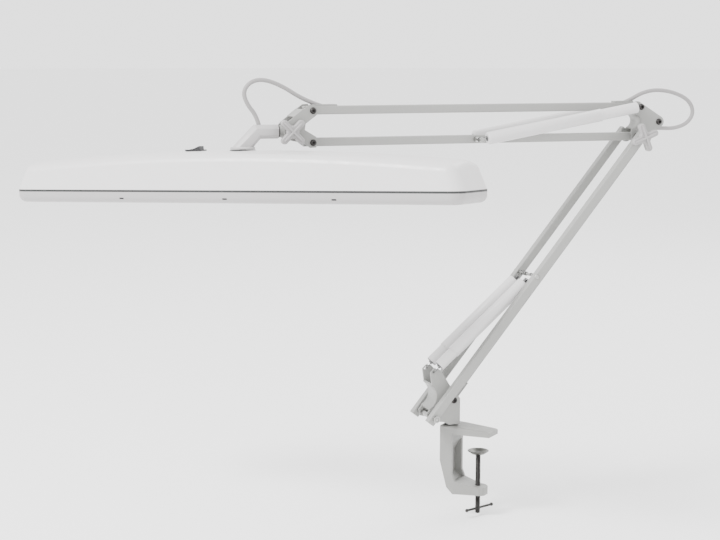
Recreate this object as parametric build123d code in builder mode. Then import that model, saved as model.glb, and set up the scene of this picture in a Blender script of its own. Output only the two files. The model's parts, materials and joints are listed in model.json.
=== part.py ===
from build123d import *
import os
from math import atan2, cos, degrees, pi, radians, sin, tan

# Swing arm desk lamp: a desk clamp, a swivelling base bracket, a lower arm of two outer tubes and one
# cable tube, an elbow bracket, an upper arm of two tubes, telescoping spring covers on both arms, and
# a long linear lamp head on a neck that tilts, rolls and swivels.
#
# Frame, in millimetres: the origin is the centre of the desk face, the underside of the clamp's upper
# jaw. +Z is up and +X runs from the clamp's spine to the tips of its jaws.

os.makedirs("parts", exist_ok=True)


def save(piece, name):
    piece.part.label = name
    export_step(piece.part, f"parts/{name}.step")


# ---------------------------------------------------------------- driving dimensions
# clamp
jaw_length = 48
jaw_root_width = 34
jaw_tip_width = 27
spine_depth = 16
spine_x = -jaw_length / 2 - spine_depth / 2
jaw_height = 10
throat = 64
lower_jaw_height = 11
screw_x = 4
screw_r = 3.3
screw_end_z = -99
pad_r = 13
pad_top_z = -20
tommy_r = 1.5
tommy_length = 46
tommy_z = -93
tommy_angle = 70
tommy_shift = 3
post_r = 5
bush_r = 6.4

# fits
running = 0.05
pivot_gap = 0.3

# arm plane: its height axis is vertical, and the third axis points out of its front side
arm_angle = 46
lower_angle = 51.2
lower_length = 430
upper_length = 418
tube = 10
tube_wall = 1
tube_shift = 1.6
plug_t = 1.2
outer_tube_w = 26.8
plate_in = 12.5
plate_t = 2.5
plate_out = plate_in + plate_t
pin_r = 2.5
cross_pin_r = 1.7

# pivots in the arm plane: (distance from the swivel axis, height above the desk)
pivot_a = (-33, 24)
pivot_b = (-3, 42)
brace = 37
spring_ear = (-30.5, 78.5)
lower_spring_w = 13.8
upper_spring_w = 22.1
small_cover_r = 6.7
large_cover_r = 7.6
cover_wall = 0.6
cable_r = 2.5

# lamp head
head_length = 572
head_width = 94
crest = 45
end_crest = 32
shell = 1.6
trim_height = 13
head_yaw = 4
head_rise = 1.8
head_dip = 2.7
flange_r = 14.5
knuckle = (-207.5, 372)
flange_at = (-262, 351)


# ---------------------------------------------------------------- planes and points
def unit(angle):
    return Vector(cos(radians(angle)), sin(radians(angle)))


post_at = Vector(spine_x, 0, 0)
arm = Plane(origin=post_at, x_dir=unit(arm_angle), z_dir=unit(arm_angle - 90))
lower_dir = unit(lower_angle)
lower_side = unit(lower_angle + 90)


def moved(point, direction, distance):
    """A point of the arm plane moved along a direction in that plane."""
    return (point[0] + direction.X * distance, point[1] + direction.Y * distance)


def arm_point(point, w=0):
    return arm.from_local_coords(Vector(point[0], point[1], w))


def across(point, w):
    """A plane square to the pins, at a point of the arm plane, w in front of the middle."""
    return Plane(origin=arm_point(point, w), x_dir=arm.x_dir, z_dir=arm.z_dir)


def along(start, end, w):
    """A plane square to a link at its start, looking along the link, with x across the arm."""
    towards = arm_point(end, w) - arm_point(start, w)
    return Plane(origin=arm_point(start, w), x_dir=arm.z_dir, z_dir=towards)


def gap(start, end):
    return (Vector(*end) - Vector(*start)).length


pivot_q1 = moved(pivot_a, lower_dir, lower_length)
pivot_q2 = moved(pivot_b, lower_dir, lower_length)
pivot_q3 = (pivot_q1[0], pivot_q1[1] + brace)
pivot_h1 = (pivot_q1[0] - upper_length, pivot_q1[1])
pivot_h3 = (pivot_h1[0], pivot_h1[1] + brace)
lower_cross = moved(moved(pivot_a, lower_dir, 212.5), lower_side, 3.6)
upper_cross = (pivot_q1[0] - 211, pivot_q1[1])

left = Vector(-1, 0)
right = Vector(1, 0)


# ---------------------------------------------------------------- repeated shapes
def add_rod(point, w_start, w_end, radius, hole=0):
    """A round rod or sleeve square to the arm plane, from one lateral place to another."""
    with BuildSketch(across(point, w_start)) as profile:
        Circle(radius)
        if hole:
            Circle(hole, mode=Mode.SUBTRACT)
    extrude(profile.sketch, amount=w_end - w_start)


def add_hex(point, w_start, w_end, radius, hole=0):
    with BuildSketch(across(point, w_start)) as profile:
        RegularPolygon(radius, 6)
        if hole:
            Circle(hole, mode=Mode.SUBTRACT)
    extrude(profile.sketch, amount=w_end - w_start)


def cut_rod(point, w_start, w_end, radius):
    with BuildSketch(across(point, w_start)) as profile:
        Circle(radius)
    extrude(profile.sketch, amount=w_end - w_start, mode=Mode.SUBTRACT)


def add_square_tube(start, end, w, size=tube, hollow=True):
    with BuildSketch(along(start, end, w)) as profile:
        RectangleRounded(size, size, 1.2)
        if hollow:
            RectangleRounded(size - 2 * tube_wall, size - 2 * tube_wall, 0.5, mode=Mode.SUBTRACT)
    extrude(profile.sketch, amount=gap(start, end))


def add_plug(start, direction, w, spigot=3):
    """Plastic end plug of a square tube: a cap outside the end and a spigot inside it."""
    end = moved(start, direction, plug_t)
    inner = moved(start, direction, -spigot)
    add_square_tube(start, end, w, hollow=False)
    add_square_tube(start, inner, w, size=tube - 2 * tube_wall - 0.04, hollow=False)


def add_bolt(point, w_head, w_nut, radius=pin_r):
    """A bolt across the arm: round head in front, hexagon lock nut behind."""
    add_rod(point, -w_nut, w_head, radius)
    add_rod(point, w_head, w_head + 2.8, 3.9)
    add_hex(point, -w_nut - 4, -w_nut, 4.4)


# ---------------------------------------------------------------- clamp
throat_z = -throat
base_z = -throat - lower_jaw_height
jaw_tip_x = jaw_length / 2
spine_in_x = -jaw_length / 2
spine_out_x = spine_in_x - spine_depth
bore_depth = 18

with BuildPart() as clamp_frame:
    with BuildSketch(Plane.XZ):
        with BuildLine():
            Polyline(
                (spine_out_x, jaw_height),
                (spine_out_x, -34),
                (spine_out_x + 9, -67),
                (spine_out_x + 17, base_z),
                (screw_x + 11, base_z),
                (screw_x + 11, throat_z - 1),
                (screw_x - 2, throat_z),
                (spine_in_x + 4, throat_z + 5),
                (spine_in_x, throat_z + 14),
                (spine_in_x, 0),
                (jaw_tip_x, 0),
                (jaw_tip_x, jaw_height - 4.5),
                (jaw_tip_x - 3, jaw_height - 3),
                (spine_in_x, jaw_height),
                close=True,
            )
        make_face()
    extrude(amount=jaw_root_width / 2, both=True)
    with BuildSketch(Plane.XY.offset(base_z - 1)):
        with BuildLine():
            Polyline(
                (spine_out_x, -jaw_root_width / 2),
                (spine_in_x + 6, -jaw_root_width / 2),
                (jaw_tip_x, -jaw_tip_width / 2),
                (jaw_tip_x, jaw_tip_width / 2),
                (spine_in_x + 6, jaw_root_width / 2),
                (spine_out_x, jaw_root_width / 2),
                close=True,
            )
        make_face()
    extrude(amount=throat + lower_jaw_height + jaw_height + 2, mode=Mode.INTERSECT)
    # the lower jaw narrows to a round boss about the screw
    for side in (-1, 1):
        with BuildSketch(Plane.XY.offset(base_z - 1)):
            with BuildLine():
                Polyline(
                    (spine_in_x + 2, side * (jaw_root_width / 2 + 1)),
                    (spine_in_x + 2, side * jaw_root_width / 2),
                    (screw_x - 3, side * 11),
                    (screw_x + 5, side * 10.6),
                    (screw_x + 9, side * 8),
                    (screw_x + 12, side * 4),
                    (screw_x + 12, side * (jaw_root_width / 2 + 1)),
                    close=True,
                )
            make_face()
        extrude(amount=lower_jaw_height + 14, mode=Mode.SUBTRACT)
    # channel in the spine, open towards the jaws
    with BuildSketch(Plane.XZ):
        with BuildLine():
            Polyline(
                (spine_in_x + 5, -10),
                (spine_in_x - 1, -10),
                (spine_in_x - 9, -24),
                (spine_in_x - 9, -52),
                (spine_in_x - 1, throat_z + 5),
                (spine_in_x + 5, throat_z + 5),
                close=True,
            )
        make_face()
    extrude(amount=jaw_root_width / 2 - 4, both=True, mode=Mode.SUBTRACT)
    fillet(clamp_frame.faces().sort_by(Axis.Z)[-1].edges().filter_by(Axis.Y, reverse=True), 2.4)
    with Locations((spine_x, 0, jaw_height)):
        Hole(bush_r + running, depth=bore_depth)
    with Locations((screw_x, 0, base_z)):
        Hole(screw_r + running, depth=4 * lower_jaw_height)
save(clamp_frame, "clamp_frame")

bush_flange_r = 9
bush_top_z = jaw_height + 1.5
with BuildPart() as swivel_bush:
    with BuildSketch(Plane(origin=(spine_x, 0, jaw_height + 0.02))):
        Circle(bush_flange_r)
    extrude(amount=1.48)
    with BuildSketch(Plane(origin=(spine_x, 0, jaw_height - bore_depth + 0.5))):
        Circle(bush_r)
    extrude(amount=bore_depth)
    with BuildSketch(Plane(origin=(spine_x, 0, jaw_height - bore_depth))):
        Circle(post_r + running)
    extrude(amount=2 * bore_depth, mode=Mode.SUBTRACT)
save(swivel_bush, "swivel_bush")

# pressure pad: a dished steel disc, hollow on top, that turns freely on the tip of the screw
with BuildPart() as pressure_pad:
    with BuildSketch(Plane.XZ):
        with BuildLine():
            Polyline(
                (screw_x + 2.7, pad_top_z - 3.4),
                (screw_x + 7, pad_top_z - 3.4),
                (screw_x + pad_r - 1.6, pad_top_z),
                (screw_x + pad_r, pad_top_z),
                (screw_x + pad_r, pad_top_z - 1),
                (screw_x + 7.6, pad_top_z - 4.8),
                (screw_x + 2.7, pad_top_z - 4.8),
                close=True,
            )
        make_face()
    revolve(axis=Axis((screw_x, 0, 0), (0, 0, 1)))
save(pressure_pad, "pressure_pad")

shoulder_z = pad_top_z - 5.1
with BuildPart() as clamp_screw:
    with BuildSketch(Plane(origin=(screw_x, 0, screw_end_z))):
        Circle(screw_r)
    extrude(amount=shoulder_z - screw_end_z)
    chamfer(clamp_screw.edges(), 0.6)
    with BuildSketch(Plane(origin=(screw_x, 0, shoulder_z - 1))):
        Circle(2.3)
    extrude(amount=3.2)
    # rivet head that keeps the pad on the tip
    with BuildSketch(Plane(origin=(screw_x, 0, pad_top_z - 3.1))):
        Circle(3.8)
    extrude(amount=1.2)
    with BuildSketch(Plane(origin=(screw_x, 0, tommy_z), z_dir=unit(tommy_angle))):
        Circle(tommy_r + running)
    extrude(amount=10, both=True, mode=Mode.SUBTRACT)
save(clamp_screw, "clamp_screw")

tommy_dir = unit(tommy_angle)
tommy_middle = Vector(screw_x, 0, tommy_z) + tommy_dir * tommy_shift
with BuildPart() as tommy_bar:
    with BuildSketch(Plane(origin=tommy_middle, z_dir=tommy_dir)):
        Circle(tommy_r)
    extrude(amount=tommy_length / 2, both=True)
    for side in (-1, 1):
        end = tommy_middle + tommy_dir * side * (tommy_length / 2 - 1.2)
        with Locations(end):
            Sphere(2.3)
save(tommy_bar, "tommy_bar")

# ---------------------------------------------------------------- base bracket
foot_z = bush_top_z + 0.4
foot_t = 3
web_arc = ((-32, 63), (-24.5, 47.5), (-34.5, 32))


def base_outline():
    """Side plate of the base bracket, from the spring ear down to the foot and the long pin."""
    with BuildLine() as outline:
        ThreePointArc(*web_arc)
        Polyline(
            web_arc[2],
            (-38.5, 27),
            (-37, 19.5),
            (-26, 17),
            (-12, foot_z + foot_t),
            (-8, foot_z),
            (5, foot_z),
            (5, 44),
            (-9.4, 62),
            (-18.5, 77),
            (-22.5, 81.5),
            (-29.5, 82.5),
            (-34, 78),
            web_arc[0],
        )
    make_face(outline.edges())


with BuildPart() as base_bracket:
    for w in (-plate_out, plate_in):
        with BuildSketch(arm.offset(w)):
            base_outline()
        extrude(amount=plate_t)
    # rounded web that joins the side plates along their hollow edge
    with BuildSketch(arm.offset(-plate_out)):
        with BuildLine():
            ThreePointArc(*web_arc)
        trace(line_width=2.4)
    extrude(amount=2 * plate_out)
    # foot plate across the swivel post
    with BuildSketch(arm.offset(-plate_out)):
        with BuildLine():
            Polyline((-10, foot_z), (5, foot_z), (5, foot_z + foot_t), (-10, foot_z + foot_t), close=True)
        make_face()
    extrude(amount=2 * plate_out)
    for point in (pivot_a, pivot_b):
        cut_rod(point, -20, 20, pin_r)
    cut_rod(spring_ear, -20, 20, 1.8)
    with BuildSketch(Plane(origin=(spine_x, 0, foot_z - 1))):
        Circle(post_r - 1)
    extrude(amount=foot_t + 2, mode=Mode.SUBTRACT)
save(base_bracket, "base_bracket")

with BuildPart() as swivel_post:
    with BuildSketch(Plane(origin=(spine_x, 0, jaw_height - bore_depth + 1))):
        Circle(post_r)
    extrude(amount=foot_z - (jaw_height - bore_depth + 1))
    with BuildSketch(Plane(origin=(spine_x, 0, foot_z))):
        Circle(post_r - 1)
    extrude(amount=foot_t)
    with BuildSketch(Plane(origin=(spine_x, 0, foot_z + foot_t))):
        Circle(post_r + 1.4)
    extrude(amount=1.6)
    chamfer(swivel_post.edges().sort_by(Axis.Z)[-1], 0.6)
save(swivel_post, "swivel_post")

outer_in = outer_tube_w - tube / 2
outer_out = outer_tube_w + tube / 2
with BuildPart() as lower_pivot_pin:
    add_rod(pivot_a, -outer_out - 4, outer_out + 4, pin_r - 0.02)
save(lower_pivot_pin, "lower_pivot_pin")

with BuildPart() as lower_pivot_nuts:
    for side in (-1, 1):
        outer = outer_out + pivot_gap
        add_rod(pivot_a, side * outer, side * (outer + 0.9), 4.6, pin_r)
        add_hex(pivot_a, side * (outer + 0.9), side * (outer + 3.6), 4.4, pin_r)
save(lower_pivot_nuts, "lower_pivot_nuts")

with BuildPart() as link_pivot_bolt:
    add_bolt(pivot_b, plate_out, plate_out, pin_r - 0.02)
save(link_pivot_bolt, "link_pivot_bolt")

tube_half = tube / 2
with BuildPart() as base_spacers:
    add_rod(pivot_a, -plate_in, plate_in, 3.6, pin_r)
    for side in (-1, 1):
        add_rod(pivot_a, side * plate_out, side * (outer_in - pivot_gap), 4.2, pin_r)
        add_rod(pivot_b, side * (tube_half + pivot_gap), side * plate_in, 4, pin_r)
save(base_spacers, "base_spacers")

# ---------------------------------------------------------------- lower arm, outer tubes
tube_overhang = 7.5
tube_low = moved(moved(pivot_a, lower_dir, -tube_overhang), lower_side, tube_shift)
tube_high = moved(moved(pivot_q1, lower_dir, tube_overhang), lower_side, tube_shift)

for name, side in (("front", 1), ("rear", -1)):
    with BuildPart() as outer_tube:
        add_square_tube(tube_low, tube_high, side * outer_tube_w)
        for point, radius in (
            (pivot_a, pin_r + running - 0.02),
            (pivot_q1, pin_r + pivot_gap),
            (lower_cross, cross_pin_r),
        ):
            cut_rod(point, side * (outer_in - 1), side * (outer_out + 1), radius)
    save(outer_tube, f"lower_tube_{name}")

with BuildPart() as lower_tube_plugs:
    for side in (-1, 1):
        for start, direction in ((tube_low, lower_dir * -1), (tube_high, lower_dir)):
            add_plug(start, direction, side * outer_tube_w)
save(lower_tube_plugs, "lower_tube_plugs")

cover_in = lower_spring_w - 2.4
with BuildPart() as lower_cross_pin:
    add_rod(lower_cross, -outer_out - 1, outer_out + 1, cross_pin_r - 0.02)
    add_rod(lower_cross, -cover_in, cover_in, 2.6, cross_pin_r)
    for side in (-1, 1):
        add_rod(lower_cross, side * (outer_out + 0.02), side * (outer_out + 1.4), 2.9)
        add_rod(lower_cross, side * (outer_in - 1.2), side * (outer_in - 0.02), 3.2, cross_pin_r)
save(lower_cross_pin, "lower_cross_pin")

# ---------------------------------------------------------------- lower arm, cable tube
link_low = moved(pivot_b, lower_dir, -6.5)
link_high = moved(pivot_q2, lower_dir, 6.5)
under = lower_side * -1
under_3d = arm.x_dir * under.X + Vector(0, 0, under.Y)
exit_v = 368
exit_corner = (pivot_b[0] + (exit_v - pivot_b[1]) / tan(radians(lower_angle)), exit_v)
cable_slots = ((moved(exit_corner, lower_dir, -3.5), 22), (moved(pivot_b, lower_dir, 16), 18))


def cut_slot(middle, length, outwards, along_x):
    """A round-ended slot through one wall of a tube, for the cable."""
    face = moved(middle, outwards, tube_half)
    outwards_3d = arm.x_dir * outwards.X + Vector(0, 0, outwards.Y)
    with BuildSketch(Plane(origin=arm_point(face), x_dir=along_x, z_dir=outwards_3d)) as slot:
        SlotOverall(length, 2 * cable_r + 1.4)
    extrude(slot.sketch, amount=3, both=True, mode=Mode.SUBTRACT)


lower_dir_3d = arm.x_dir * lower_dir.X + Vector(0, 0, lower_dir.Y)
with BuildPart() as lower_cable_tube:
    add_square_tube(link_low, link_high, 0)
    cut_rod(pivot_b, -6, 6, pin_r + running - 0.02)
    cut_rod(pivot_q2, -6, 6, pin_r + running - 0.02)
    for slot_middle, slot_length in cable_slots:
        cut_slot(slot_middle, slot_length, under, lower_dir_3d)
save(lower_cable_tube, "lower_cable_tube")


def add_clip(start, end, side_dir, w_half, height):
    """A thin sprung clip that hugs one side of a tube between two points of its centreline."""
    offset_start = moved(start, side_dir, tube_half + 0.02)
    offset_end = moved(end, side_dir, tube_half + 0.02)
    middle_start = moved(offset_start, side_dir, height / 2)
    towards = arm_point(offset_end) - arm_point(offset_start)
    with BuildSketch(Plane(origin=arm_point(middle_start), x_dir=arm.z_dir, z_dir=towards)) as profile:
        RectangleRounded(2 * w_half, height, height / 2 - 0.05)
    extrude(profile.sketch, amount=towards.length)


with BuildPart() as lower_cable_clip:
    clip_low = moved(pivot_b, lower_dir, 3.5)
    clip_high = moved(pivot_b, lower_dir, 28)
    add_clip(clip_low, clip_high, under, 4.6, 1.6)
    # inlet for the mains lead
    inlet = moved(moved(pivot_b, lower_dir, 11), under, tube_half)
    with BuildSketch(Plane(origin=arm_point(inlet), x_dir=arm.z_dir, z_dir=under_3d)):
        Circle(cable_r + 0.3)
    extrude(amount=4, both=True, mode=Mode.SUBTRACT)
save(lower_cable_clip, "lower_cable_clip")

# ---------------------------------------------------------------- telescoping spring covers
hook_reach = 9
coil_r = 2.9
cap_t = 1.4


def add_cover(start, end, w, first, last, radius, cap_from=None):
    """A round cover on the spring line, from the distance first to the distance last."""
    line = along(start, end, w)
    with BuildSketch(line.offset(first)) as profile:
        Circle(radius)
        Circle(radius - cover_wall, mode=Mode.SUBTRACT)
    extrude(profile.sketch, amount=last - first)
    if cap_from is not None:
        with BuildSketch(line.offset(cap_from)) as cap:
            Circle(radius)
            Circle(3.2, mode=Mode.SUBTRACT)
        extrude(cap.sketch, amount=cap_t)


def add_spring(start, end, w, coil_r, hook_from):
    """Closed outer form of a tension spring: its coil, and the shank of the hook at each end."""
    line = along(start, end, w)
    length = gap(start, end)
    with BuildSketch(line.offset(hook_reach)) as coil:
        Circle(coil_r)
        Circle(coil_r - 1.6, mode=Mode.SUBTRACT)
    extrude(coil.sketch, amount=length - 2 * hook_reach)
    for first, last in ((hook_from, hook_reach + 1), (length - hook_reach - 1, length - 2.6)):
        with BuildSketch(line.offset(first)) as hook:
            Circle(coil_r - 0.8)
            Circle(coil_r - 2, mode=Mode.SUBTRACT)
        extrude(hook.sketch, amount=last - first)


lower_line = (spring_ear, lower_cross)
upper_line = (pivot_q3, upper_cross)
# each set: its line, lateral place, start of the hook, then both ends of each cover along the line
cover_sets = (
    ("lower", lower_line, lower_spring_w, 7.5, 11, 80, 35, 158),
    ("upper", upper_line, upper_spring_w, 3.1, 5, 96, 54, 206),
)
for arm_name, line, spring_w, hook_from, small_from, small_to, large_from, large_to in cover_sets:
    with BuildPart() as small_covers:
        for side in (-1, 1):
            add_cover(*line, side * spring_w, small_from, small_to, small_cover_r)
    save(small_covers, f"{arm_name}_small_covers")
    with BuildPart() as large_covers:
        for side in (-1, 1):
            add_cover(*line, side * spring_w, large_from, large_to, large_cover_r, large_to - cap_t)
    save(large_covers, f"{arm_name}_large_covers")
    with BuildPart() as springs:
        for side in (-1, 1):
            add_spring(*line, side * spring_w, coil_r, hook_from)
    save(springs, f"{arm_name}_springs")

# ---------------------------------------------------------------- elbow bracket
elbow_web = ((235.6, 387.4), (243.2, 378.5), (236.5, 368.5))


def elbow_outline():
    for point, radius in ((pivot_q1, 7.5), (pivot_q2, 7), (pivot_q3, 6.5)):
        with Locations(point):
            Circle(radius)
    make_hull()
    with BuildLine() as hollow:
        ThreePointArc(*elbow_web)
        Polyline(elbow_web[2], (220, 368.5), (220, 388), elbow_web[0])
    make_face(hollow.edges(), mode=Mode.SUBTRACT)


with BuildPart() as elbow_bracket:
    for w in (-plate_out, plate_in):
        with BuildSketch(arm.offset(w)):
            elbow_outline()
        extrude(amount=plate_t)
    with BuildSketch(arm.offset(-plate_out)):
        with BuildLine():
            ThreePointArc(*elbow_web)
        trace(line_width=2.2)
    extrude(amount=2 * plate_out)
    for point in (pivot_q1, pivot_q2, pivot_q3):
        cut_rod(point, -20, 20, pin_r)
save(elbow_bracket, "elbow_bracket")

knob_seat = outer_out + 1.2
with BuildPart() as elbow_knob_bolt:
    add_rod(pivot_q1, -knob_seat, knob_seat + 8, pin_r - 0.02)
    add_hex(pivot_q1, -knob_seat - 4, -knob_seat, 4.6)
save(elbow_knob_bolt, "elbow_knob_bolt")

hook_w = upper_spring_w + 3.2
with BuildPart() as elbow_bolts:
    add_bolt(pivot_q2, plate_out, plate_out, pin_r - 0.02)
    add_bolt(pivot_q3, hook_w, hook_w, pin_r - 0.02)
save(elbow_bolts, "elbow_bolts")

with BuildPart() as elbow_spacers:
    for side in (-1, 1):
        add_rod(pivot_q1, side * (outer_out + pivot_gap), side * knob_seat, 4.8, pin_r)
        add_rod(pivot_q1, side * plate_out, side * (outer_in - pivot_gap), 4.6, pin_r)
        add_rod(pivot_q1, side * (tube_half + pivot_gap), side * plate_in, 4.4, pin_r)
        for point in (pivot_q2, pivot_q3):
            add_rod(point, side * (tube_half + pivot_gap), side * plate_in, 4, pin_r)
save(elbow_spacers, "elbow_spacers")


def add_cross_knob(point, w, angle):
    """A four-armed clamping knob: a hub, and four rounded arms with a raised rib on each."""
    arm_reach = 14
    arm_half = 4
    with BuildSketch(across(point, w)) as body:
        Circle(7.5)
        for turn in (0, 90):
            SlotOverall(2 * (arm_reach + arm_half), 2 * arm_half, rotation=angle + turn)
    extrude(body.sketch, amount=7)
    with BuildSketch(across(point, w + 7)) as ribs:
        for turn in (0, 90):
            SlotOverall(2 * (arm_reach + 2), 2.6, rotation=angle + turn)
    extrude(ribs.sketch, amount=1.8)
    cut_rod(point, w - 1, w + 5.5, pin_r)


knob_lift = 0.3
with BuildPart() as elbow_knob:
    add_cross_knob(pivot_q1, knob_seat + knob_lift, 22)
    cut_rod(pivot_q1, knob_seat - 1, knob_seat + 8.5, pin_r + running)
save(elbow_knob, "elbow_knob")

# ---------------------------------------------------------------- upper arm
upper_overhang = 6.5
short_overhang = 3.6
bottom_right = moved(pivot_q1, right, short_overhang)
bottom_left = moved(pivot_h1, left, upper_overhang)
top_right = moved(pivot_q3, right, upper_overhang)
top_left = moved(pivot_h3, left, upper_overhang)
right_exit = (212, 234)
left_exit = (-177, -151)
up = Vector(0, 1)
clip_run = 5

with BuildPart() as upper_bottom_tube:
    add_square_tube(bottom_left, bottom_right, 0)
    cut_rod(pivot_q1, -6, 6, pin_r + running - 0.02)
    cut_rod(pivot_h1, -6, 6, pin_r + pivot_gap)
    cut_rod(upper_cross, -6, 6, cross_pin_r)
save(upper_bottom_tube, "upper_bottom_tube")

upper_cross_w = upper_spring_w + 3
with BuildPart() as upper_cross_pin:
    add_rod(upper_cross, -upper_cross_w, upper_cross_w, cross_pin_r - 0.02)
    for side in (-1, 1):
        add_hex(upper_cross, side * upper_cross_w, side * (upper_cross_w + 3), 3.6)
        add_rod(upper_cross, side * (tube_half + 0.02), side * (upper_spring_w - 4), 3, cross_pin_r)
save(upper_cross_pin, "upper_cross_pin")

top_face_v = pivot_q3[1] + tube_half
with BuildPart() as upper_top_tube:
    add_square_tube(top_left, top_right, 0)
    cut_rod(pivot_q3, -6, 6, pin_r + running - 0.02)
    cut_rod(pivot_h3, -6, 6, pin_r + running - 0.02)
    # slots in the top face where the cable leaves at each end
    for low, high in (left_exit, right_exit):
        cut_slot(((low + high) / 2, pivot_q3[1]), high - low, up, arm.x_dir)
save(upper_top_tube, "upper_top_tube")

with BuildPart() as upper_tube_plugs:
    add_plug(bottom_left, left, 0)
    add_plug(bottom_right, right, 0, spigot=0.9)
save(upper_tube_plugs, "upper_tube_plugs")

with BuildPart() as upper_top_plugs:
    for start, direction in ((top_left, left), (top_right, right)):
        add_plug(start, direction, 0)
save(upper_top_plugs, "upper_top_plugs")

clip_height = 1.8
with BuildPart() as upper_cable_clips:
    for (low, high), towards in ((left_exit, -1), (right_exit, 1)):
        middle = (low + high) / 2
        base = top_face_v + 0.02
        with BuildSketch(Plane(origin=arm_point((middle, base)), x_dir=arm.x_dir, z_dir=(0, 0, 1))):
            RectangleRounded(high - low + clip_run, tube - 1, 1.5)
        extrude(amount=clip_height)
        # the clip is open at the end where the cable rises
        mouth = arm_point((middle + towards * 5, base))
        with BuildSketch(Plane(origin=mouth, x_dir=arm.x_dir, z_dir=(0, 0, 1))):
            SlotOverall(high - low + 10, 2 * cable_r + 1.4)
        extrude(amount=clip_height, mode=Mode.SUBTRACT)
save(upper_cable_clips, "upper_cable_clips")

# ---------------------------------------------------------------- head bracket
head_web = ((-204, 388.6), (-193, 397))


def head_outline():
    with BuildLine() as outline:
        Polyline(
            (-216, 379),
            (-212.5, 382.8),
            (-186.5, 402.6),
            (-180, 403),
            (-175.3, 397.5),
            (-177, 391),
            (-190.5, 381),
            (-191.5, 374),
            (-178, 366),
            (-174.6, 360),
            (-178, 353.5),
            (-185, 353),
            (-193, 359),
            (-207, 361.5),
            (-216, 366),
            close=True,
        )
    make_face(outline.edges())


with BuildPart() as head_bracket:
    for w in (-plate_out, plate_in):
        with BuildSketch(arm.offset(w)):
            head_outline()
        extrude(amount=plate_t)
    # web along the upper edge
    with BuildSketch(arm.offset(-plate_out)):
        with BuildLine():
            Line(*head_web)
        trace(line_width=2.2)
    extrude(amount=2 * plate_out)
    for point in (pivot_h1, pivot_h3, knuckle):
        cut_rod(point, -20, 20, pin_r)
save(head_bracket, "head_bracket")

with BuildPart() as head_pivot_bolts:
    for point in (pivot_h1, pivot_h3):
        add_bolt(point, plate_out, plate_out, pin_r - 0.02)
save(head_pivot_bolts, "head_pivot_bolts")

with BuildPart() as head_spacers:
    for side in (-1, 1):
        for point in (pivot_h1, pivot_h3):
            add_rod(point, side * (tube_half + pivot_gap), side * plate_in, 4, pin_r)
save(head_spacers, "head_spacers")

block_half = plate_in - 0.4
head_knob_seat = plate_out + 1
with BuildPart() as head_knob_bolt:
    add_rod(knuckle, -head_knob_seat, head_knob_seat + 8, pin_r - 0.02)
    add_hex(knuckle, -head_knob_seat - 4, -head_knob_seat, 4.6)
    for side in (-1, 1):
        add_rod(knuckle, side * plate_out, side * head_knob_seat, 5, pin_r - 0.02)
save(head_knob_bolt, "head_knob_bolt")

with BuildPart() as head_knob:
    add_cross_knob(knuckle, head_knob_seat + knob_lift, 45)
    cut_rod(knuckle, head_knob_seat - 1, head_knob_seat + 8.5, pin_r + running)
save(head_knob, "head_knob")

# ---------------------------------------------------------------- tilt block, neck
roll_face_u = -219
roll_bolt_r = 2.5
roll_axis_plane = Plane(origin=arm_point((roll_face_u, knuckle[1])), x_dir=arm.z_dir, z_dir=arm.x_dir * -1)
with BuildPart() as tilt_block:
    add_rod(knuckle, -block_half, block_half, 7)
    with BuildSketch(roll_axis_plane):
        Circle(7)
    extrude(amount=-(knuckle[0] - roll_face_u))
    cut_rod(knuckle, -20, 20, pin_r + running - 0.02)
    with BuildSketch(roll_axis_plane):
        Circle(roll_bolt_r)
    extrude(amount=-4.5, mode=Mode.SUBTRACT)
save(tilt_block, "tilt_block")

washer_t = 1.1
with BuildPart() as serrated_washer:
    with BuildSketch(roll_axis_plane.offset(0.02)):
        Circle(7.4)
        Circle(roll_bolt_r, mode=Mode.SUBTRACT)
    extrude(amount=washer_t)
save(serrated_washer, "serrated_washer")

neck_start = 0.02 + washer_t + 0.3
head_up_x = Vector(
    cos(radians(head_yaw)) * cos(radians(head_rise)),
    sin(radians(head_yaw)) * cos(radians(head_rise)),
    sin(radians(head_rise)),
)
head_rear = Vector(
    -sin(radians(head_yaw)) * cos(radians(head_dip)),
    cos(radians(head_yaw)) * cos(radians(head_dip)),
    -sin(radians(head_dip)),
)
head_up = head_up_x.cross(head_rear)
seam_centre = arm_point(flange_at) - head_up * crest
head = Plane(origin=seam_centre, x_dir=head_up_x, z_dir=head_up)

# last run of the cable, straight down into the neck
neck_mouth = (-245, 390)
neck_entry = (-241.5, 375.5)
flange_z = crest + 0.8
flange_t = 3.2
neck_corner = (-245, knuckle[1])


def neck_section(width, height, cut):
    """Eight-sided section of the neck casting."""
    with BuildLine() as outline:
        Polyline(
            (width / 2, height / 2 - cut),
            (width / 2 - cut, height / 2),
            (cut - width / 2, height / 2),
            (-width / 2, height / 2 - cut),
            (-width / 2, cut - height / 2),
            (cut - width / 2, -height / 2),
            (width / 2 - cut, -height / 2),
            (width / 2, cut - height / 2),
            close=True,
        )
    make_face(outline.edges())


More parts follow.
